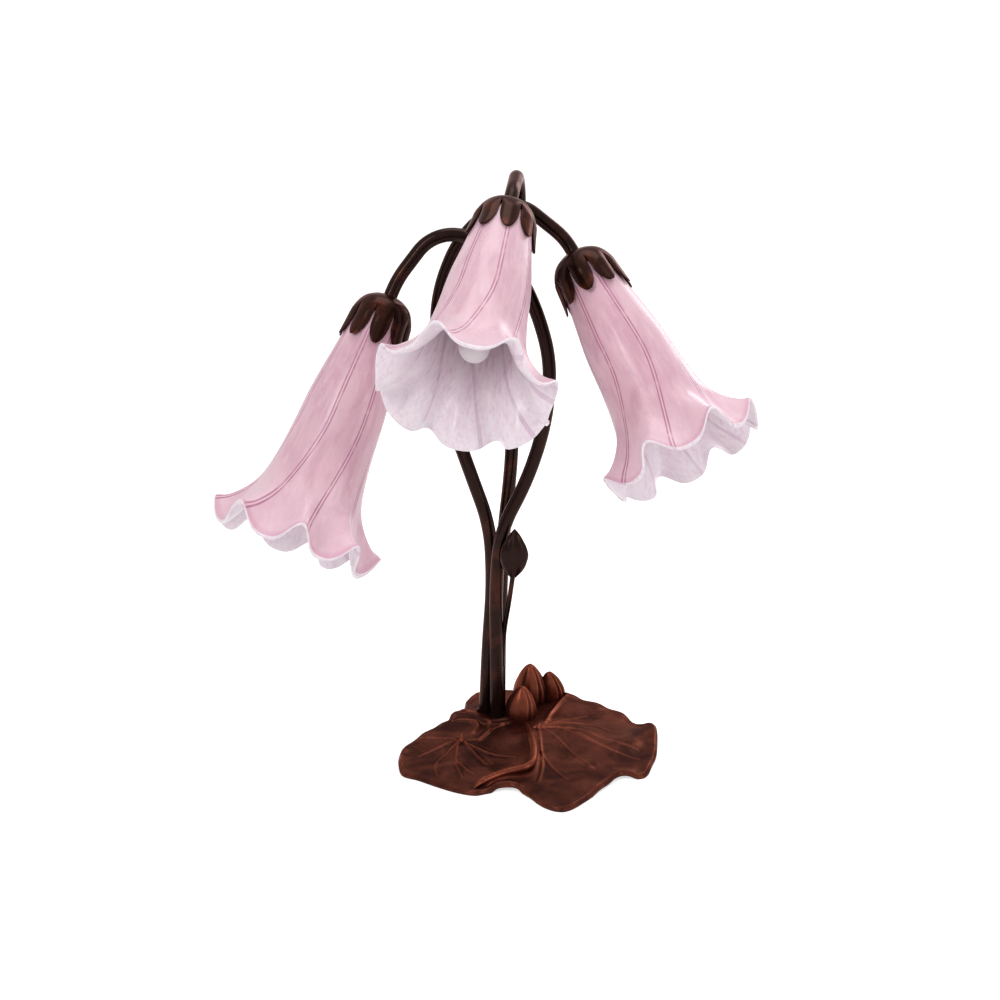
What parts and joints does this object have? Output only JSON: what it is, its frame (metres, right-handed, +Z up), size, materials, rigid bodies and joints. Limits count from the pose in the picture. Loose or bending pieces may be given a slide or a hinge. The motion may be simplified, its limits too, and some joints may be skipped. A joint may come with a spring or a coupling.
{
  "type": "table lamp",
  "caption": "Table lamp with ruffled lily-shaped glass shades hanging from bent, interlaced stems on a cast lily-pad base with buds.",
  "frame": {"origin": "on the standing surface, on the felt under the foot of the stem bundle", "axes": "+Z up, +X to the viewer's right, -Y towards the viewer, where the middle shade leans"},
  "size_m": [0.3662, 0.2428, 0.408],
  "materials": {
    "cast_patina": "satin, dark mahogany patina rubbed red-brown on veins and edges",
    "cover_steel": "black painted sheet",
    "felt": "dark brown felt",
    "plain_steel": "plain zinc-plated",
    "black_plastic": "moulded",
    "brass": "bare brass",
    "stem_patina": "semi-gloss near-black brown patina",
    "cap_patina": "semi-gloss dark brown patina",
    "lampholder_plastic": "dark phenolic",
    "shade_glass": "pink art glass, glossy, mottled with rose veins",
    "bulb_glass": "frosted white"
  },
  "bodies": {
    "stand": {"base_casting": "cast_patina", "base_cover": "cover_steel", "base_felt": "felt", "cap_left": "cap_patina", "cap_middle": "cap_patina", "cap_right": "cap_patina", "contact_left": "brass", "contact_middle": "brass", "contact_right": "brass", "cord_bushing": "black_plastic", "cover_screws": "plain_steel", "leaf_bud": "stem_patina", "lock_nut_left": "plain_steel", "lock_nut_middle": "plain_steel", "lock_nut_right": "plain_steel", "screw_shell_left": "brass", "screw_shell_middle": "brass", "screw_shell_right": "brass", "socket_left": "lampholder_plastic", "socket_middle": "lampholder_plastic", "socket_right": "lampholder_plastic", "stem_collar": "stem_patina", "stem_left": "stem_patina", "stem_middle": "stem_patina", "stem_plate": "brass", "stem_plate_screws": "plain_steel", "stem_right": "stem_patina"},
    "bulb_left": {"bulb_left": "bulb_glass", "bulb_base_left": "brass"},
    "shade_left": {"shade_left": "shade_glass", "shade_ring_left": "brass"},
    "bulb_middle": {"bulb_middle": "bulb_glass", "bulb_base_middle": "brass"},
    "shade_middle": {"shade_middle": "shade_glass", "shade_ring_middle": "brass"},
    "bulb_right": {"bulb_right": "bulb_glass", "bulb_base_right": "brass"},
    "shade_right": {"shade_right": "shade_glass", "shade_ring_right": "brass"}
  },
  "joints": [
    {"name": "bulb_left_slide", "type": "slide", "parent": "stand", "child": "bulb_left", "axis": [-0.3625, -0.3638, -0.8581], "range_m": [0, 0.025]},
    {"name": "shade_left_slide", "type": "slide", "parent": "stand", "child": "shade_left", "axis": [-0.3625, -0.3638, -0.8581], "range_m": [0, 0.028]},
    {"name": "bulb_middle_slide", "type": "slide", "parent": "stand", "child": "bulb_middle", "axis": [-0.1823, -0.771, -0.6101], "range_m": [0, 0.025]},
    {"name": "shade_middle_slide", "type": "slide", "parent": "stand", "child": "shade_middle", "axis": [-0.1823, -0.771, -0.6101], "range_m": [0, 0.028]},
    {"name": "bulb_right_slide", "type": "slide", "parent": "stand", "child": "bulb_right", "axis": [0.4551, -0.478, -0.7513], "range_m": [0, 0.025]},
    {"name": "shade_right_slide", "type": "slide", "parent": "stand", "child": "shade_right", "axis": [0.4551, -0.478, -0.7513], "range_m": [0, 0.028]}
  ]
}
